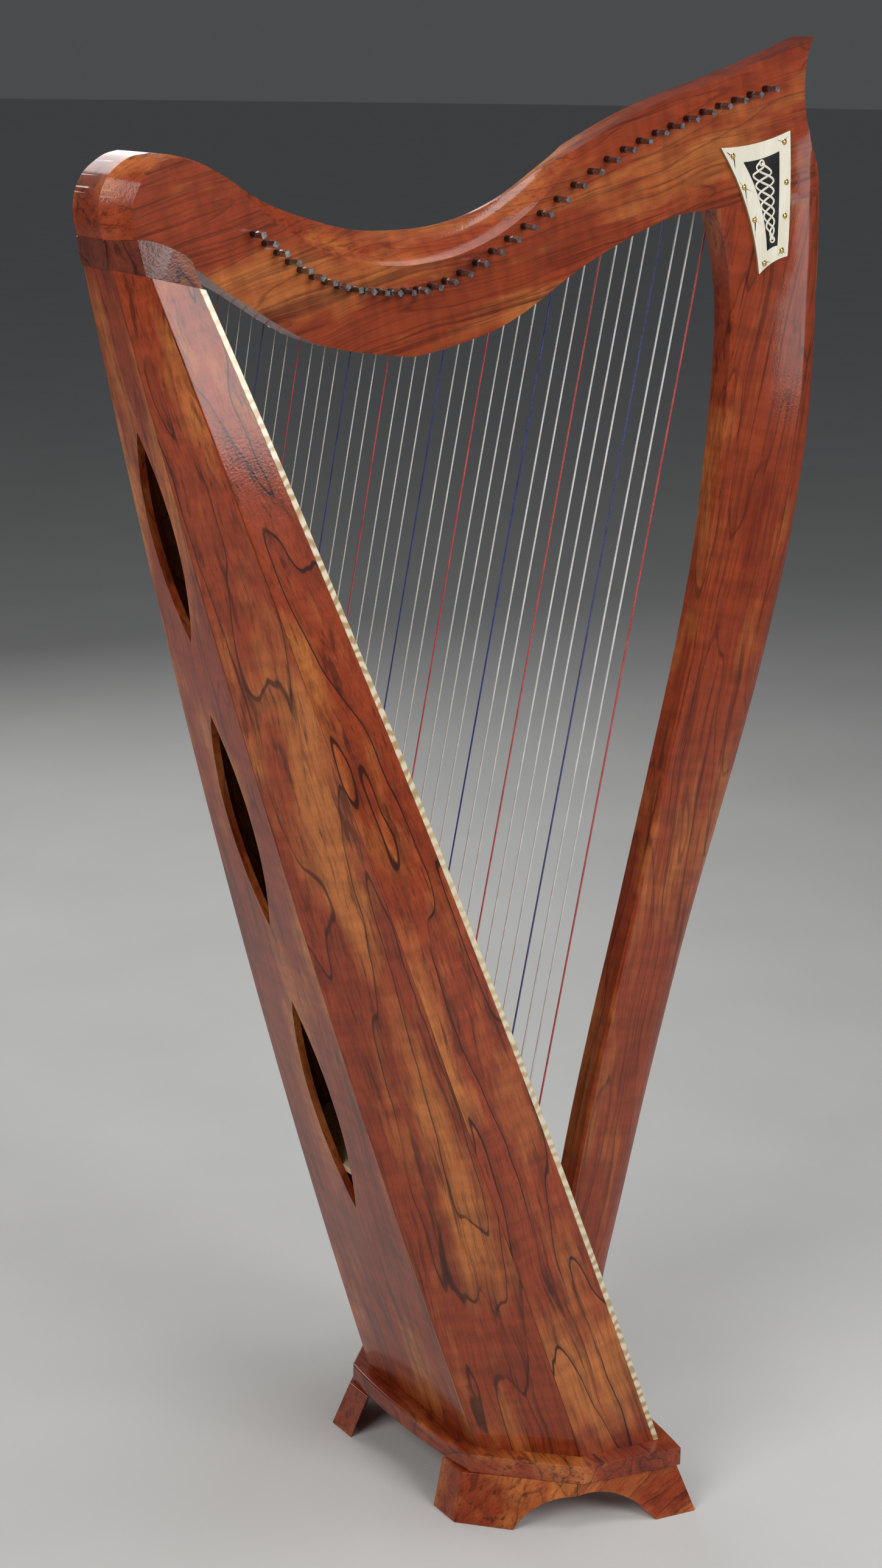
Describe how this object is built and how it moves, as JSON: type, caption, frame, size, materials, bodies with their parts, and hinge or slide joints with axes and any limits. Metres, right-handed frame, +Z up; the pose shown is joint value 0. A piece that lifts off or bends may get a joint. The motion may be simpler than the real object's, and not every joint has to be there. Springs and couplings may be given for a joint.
{
  "type": "floor-standing folk harp",
  "caption": "Floor-standing lever harp with curved pillar, scooped neck, staved sound box with pointed sound holes, string row, turning sharping levers and a splayed base.",
  "frame": {"origin": "on the floor, under the middle of the harp's bounding box; the string plane is y = 0", "axes": "+X from the player towards the pillar, +Y to the player's left where the levers are, +Z up"},
  "size_m": [0.8043, 0.468, 1.47],
  "materials": {
    "bubinga": "gloss lacquer",
    "rosewood": "gloss lacquer",
    "spruce": "satin lacquer",
    "maple": "bare wood",
    "curly_maple": "gloss lacquer",
    "ivory_plate": "polished",
    "black_inlay": "polished",
    "brass": "polished",
    "blued_steel": "blued",
    "lever_base_metal": "satin nickel",
    "lever_metal": "polished",
    "string": "translucent nylon and gut, red C and blue F strings"
  },
  "bodies": {
    "frame": {"neck": "bubinga", "shoulder_block": "bubinga", "pillar": "bubinga", "top_block": "rosewood", "back_panel": "bubinga", "bevel_panel_right": "bubinga", "bevel_panel_left": "bubinga", "side_panel_right": "bubinga", "side_panel_left": "bubinga", "soundboard": "spruce", "string_strip": "rosewood", "inner_frame": "maple", "edge_bindings": "curly_maple", "base_plate": "bubinga", "leg_frame_right": "bubinga", "leg_frame_left": "bubinga", "joint_plate": "ivory_plate", "plate_inlay": "black_inlay", "plate_screws": "brass", "tuning_pins": "blued_steel", "bridge_pins": "blued_steel", "lever_bases": "lever_base_metal", "strings": "string", "string_grommets": "brass"},
    "lever_01": {"lever_01": "lever_metal"},
    "lever_02": {"lever_02": "lever_metal"},
    "lever_03": {"lever_03": "lever_metal"},
    "lever_04": {"lever_04": "lever_metal"},
    "lever_05": {"lever_05": "lever_metal"},
    "lever_06": {"lever_06": "lever_metal"},
    "lever_07": {"lever_07": "lever_metal"},
    "lever_08": {"lever_08": "lever_metal"},
    "lever_09": {"lever_09": "lever_metal"},
    "lever_10": {"lever_10": "lever_metal"},
    "lever_11": {"lever_11": "lever_metal"},
    "lever_12": {"lever_12": "lever_metal"},
    "lever_13": {"lever_13": "lever_metal"},
    "lever_14": {"lever_14": "lever_metal"},
    "lever_15": {"lever_15": "lever_metal"},
    "lever_16": {"lever_16": "lever_metal"},
    "lever_17": {"lever_17": "lever_metal"},
    "lever_18": {"lever_18": "lever_metal"},
    "lever_19": {"lever_19": "lever_metal"},
    "lever_20": {"lever_20": "lever_metal"},
    "lever_21": {"lever_21": "lever_metal"},
    "lever_22": {"lever_22": "lever_metal"},
    "lever_23": {"lever_23": "lever_metal"},
    "lever_24": {"lever_24": "lever_metal"},
    "lever_25": {"lever_25": "lever_metal"},
    "lever_26": {"lever_26": "lever_metal"},
    "lever_27": {"lever_27": "lever_metal"},
    "lever_28": {"lever_28": "lever_metal"},
    "lever_29": {"lever_29": "lever_metal"},
    "lever_30": {"lever_30": "lever_metal"},
    "lever_31": {"lever_31": "lever_metal"},
    "lever_32": {"lever_32": "lever_metal"},
    "lever_33": {"lever_33": "lever_metal"},
    "lever_34": {"lever_34": "lever_metal"},
    "lever_35": {"lever_35": "lever_metal"},
    "lever_36": {"lever_36": "lever_metal"}
  },
  "joints": [
    {"name": "lever_01_turn", "type": "hinge", "parent": "frame", "child": "lever_01", "pos_m": [-0.26829, 0.0047, 1.27085], "axis": [0.9904, 0, -0.138], "range_deg": [0, 110]},
    {"name": "lever_02_turn", "type": "hinge", "parent": "frame", "child": "lever_02", "pos_m": [-0.25679, 0.00472, 1.26192], "axis": [0.9891, 0, -0.1472], "range_deg": [0, 110]},
    {"name": "lever_03_turn", "type": "hinge", "parent": "frame", "child": "lever_03", "pos_m": [-0.24535, 0.00474, 1.25261], "axis": [0.9882, 0, -0.1533], "range_deg": [0, 110]},
    {"name": "lever_04_turn", "type": "hinge", "parent": "frame", "child": "lever_04", "pos_m": [-0.23382, 0.00476, 1.24345], "axis": [0.9875, 0, -0.1578], "range_deg": [0, 110]},
    {"name": "lever_05_turn", "type": "hinge", "parent": "frame", "child": "lever_05", "pos_m": [-0.22203, 0.00477, 1.23497], "axis": [0.9869, 0, -0.1616], "range_deg": [0, 110]},
    {"name": "lever_06_turn", "type": "hinge", "parent": "frame", "child": "lever_06", "pos_m": [-0.2098, 0.00479, 1.2277], "axis": [0.9863, 0, -0.1652], "range_deg": [0, 110]},
    {"name": "lever_07_turn", "type": "hinge", "parent": "frame", "child": "lever_07", "pos_m": [-0.19712, 0.00481, 1.22162], "axis": [0.9857, 0, -0.1688], "range_deg": [0, 110]},
    {"name": "lever_08_turn", "type": "hinge", "parent": "frame", "child": "lever_08", "pos_m": [-0.18409, 0.00483, 1.2164], "axis": [0.9851, 0, -0.172], "range_deg": [0, 110]},
    {"name": "lever_09_turn", "type": "hinge", "parent": "frame", "child": "lever_09", "pos_m": [-0.17076, 0.00485, 1.21202], "axis": [0.9846, 0, -0.1747], "range_deg": [0, 110]},
    {"name": "lever_10_turn", "type": "hinge", "parent": "frame", "child": "lever_10", "pos_m": [-0.15717, 0.00487, 1.2085], "axis": [0.9843, 0, -0.1768], "range_deg": [0, 110]},
    {"name": "lever_11_turn", "type": "hinge", "parent": "frame", "child": "lever_11", "pos_m": [-0.14337, 0.00489, 1.20583], "axis": [0.984, 0, -0.1783], "range_deg": [0, 110]},
    {"name": "lever_12_turn", "type": "hinge", "parent": "frame", "child": "lever_12", "pos_m": [-0.12947, 0.0049, 1.20375], "axis": [0.9838, 0, -0.179], "range_deg": [0, 110]},
    {"name": "lever_13_turn", "type": "hinge", "parent": "frame", "child": "lever_13", "pos_m": [-0.11546, 0.00492, 1.20227], "axis": [0.9838, 0, -0.1793], "range_deg": [0, 110]},
    {"name": "lever_14_turn", "type": "hinge", "parent": "frame", "child": "lever_14", "pos_m": [-0.10115, 0.00494, 1.20176], "axis": [0.9838, 0, -0.1794], "range_deg": [0, 110]},
    {"name": "lever_15_turn", "type": "hinge", "parent": "frame", "child": "lever_15", "pos_m": [-0.08637, 0.00496, 1.20263], "axis": [0.9837, 0, -0.1798], "range_deg": [0, 110]},
    {"name": "lever_16_turn", "type": "hinge", "parent": "frame", "child": "lever_16", "pos_m": [-0.07094, 0.00498, 1.20525], "axis": [0.9836, 0, -0.1805], "range_deg": [0, 110]},
    {"name": "lever_17_turn", "type": "hinge", "parent": "frame", "child": "lever_17", "pos_m": [-0.05476, 0.005, 1.21004], "axis": [0.9834, 0, -0.1816], "range_deg": [0, 110]},
    {"name": "lever_18_turn", "type": "hinge", "parent": "frame", "child": "lever_18", "pos_m": [-0.03794, 0.00502, 1.21673], "axis": [0.9832, 0, -0.1828], "range_deg": [0, 110]},
    {"name": "lever_19_turn", "type": "hinge", "parent": "frame", "child": "lever_19", "pos_m": [-0.02064, 0.00503, 1.22471], "axis": [0.9829, 0, -0.184], "range_deg": [0, 110]},
    {"name": "lever_20_turn", "type": "hinge", "parent": "frame", "child": "lever_20", "pos_m": [-0.00301, 0.00505, 1.23337], "axis": [0.9827, 0, -0.1852], "range_deg": [0, 110]},
    {"name": "lever_21_turn", "type": "hinge", "parent": "frame", "child": "lever_21", "pos_m": [0.01478, 0.00507, 1.24211], "axis": [0.9825, 0, -0.1862], "range_deg": [0, 110]},
    {"name": "lever_22_turn", "type": "hinge", "parent": "frame", "child": "lever_22", "pos_m": [0.03286, 0.00509, 1.25145], "axis": [0.9823, 0, -0.1872], "range_deg": [0, 110]},
    {"name": "lever_23_turn", "type": "hinge", "parent": "frame", "child": "lever_23", "pos_m": [0.05133, 0.00511, 1.26181], "axis": [0.9822, 0, -0.1881], "range_deg": [0, 110]},
    {"name": "lever_24_turn", "type": "hinge", "parent": "frame", "child": "lever_24", "pos_m": [0.07001, 0.00513, 1.27238], "axis": [0.982, 0, -0.1889], "range_deg": [0, 110]},
    {"name": "lever_25_turn", "type": "hinge", "parent": "frame", "child": "lever_25", "pos_m": [0.08872, 0.00515, 1.28234], "axis": [0.9818, 0, -0.1897], "range_deg": [0, 110]},
    {"name": "lever_26_turn", "type": "hinge", "parent": "frame", "child": "lever_26", "pos_m": [0.10727, 0.00516, 1.29086], "axis": [0.9817, 0, -0.1904], "range_deg": [0, 110]},
    {"name": "lever_27_turn", "type": "hinge", "parent": "frame", "child": "lever_27", "pos_m": [0.12562, 0.00518, 1.29775], "axis": [0.9816, 0, -0.1909], "range_deg": [0, 110]},
    {"name": "lever_28_turn", "type": "hinge", "parent": "frame", "child": "lever_28", "pos_m": [0.14387, 0.0052, 1.30355], "axis": [0.9815, 0, -0.1914], "range_deg": [0, 110]},
    {"name": "lever_29_turn", "type": "hinge", "parent": "frame", "child": "lever_29", "pos_m": [0.16213, 0.00522, 1.30857], "axis": [0.9814, 0, -0.1918], "range_deg": [0, 110]},
    {"name": "lever_30_turn", "type": "hinge", "parent": "frame", "child": "lever_30", "pos_m": [0.18047, 0.00524, 1.31313], "axis": [0.9813, 0, -0.1923], "range_deg": [0, 110]},
    {"name": "lever_31_turn", "type": "hinge", "parent": "frame", "child": "lever_31", "pos_m": [0.19899, 0.00526, 1.31754], "axis": [0.9813, 0, -0.1927], "range_deg": [0, 110]},
    {"name": "lever_32_turn", "type": "hinge", "parent": "frame", "child": "lever_32", "pos_m": [0.21773, 0.00528, 1.32168], "axis": [0.9811, 0, -0.1933], "range_deg": [0, 110]},
    {"name": "lever_33_turn", "type": "hinge", "parent": "frame", "child": "lever_33", "pos_m": [0.23664, 0.00529, 1.32533], "axis": [0.981, 0, -0.1939], "range_deg": [0, 110]},
    {"name": "lever_34_turn", "type": "hinge", "parent": "frame", "child": "lever_34", "pos_m": [0.25564, 0.00531, 1.32869], "axis": [0.9809, 0, -0.1945], "range_deg": [0, 110]},
    {"name": "lever_35_turn", "type": "hinge", "parent": "frame", "child": "lever_35", "pos_m": [0.27467, 0.00533, 1.33197], "axis": [0.9808, 0, -0.195], "range_deg": [0, 110]},
    {"name": "lever_36_turn", "type": "hinge", "parent": "frame", "child": "lever_36", "pos_m": [0.29367, 0.00535, 1.33536], "axis": [0.9808, 0, -0.1952], "range_deg": [0, 110]}
  ]
}
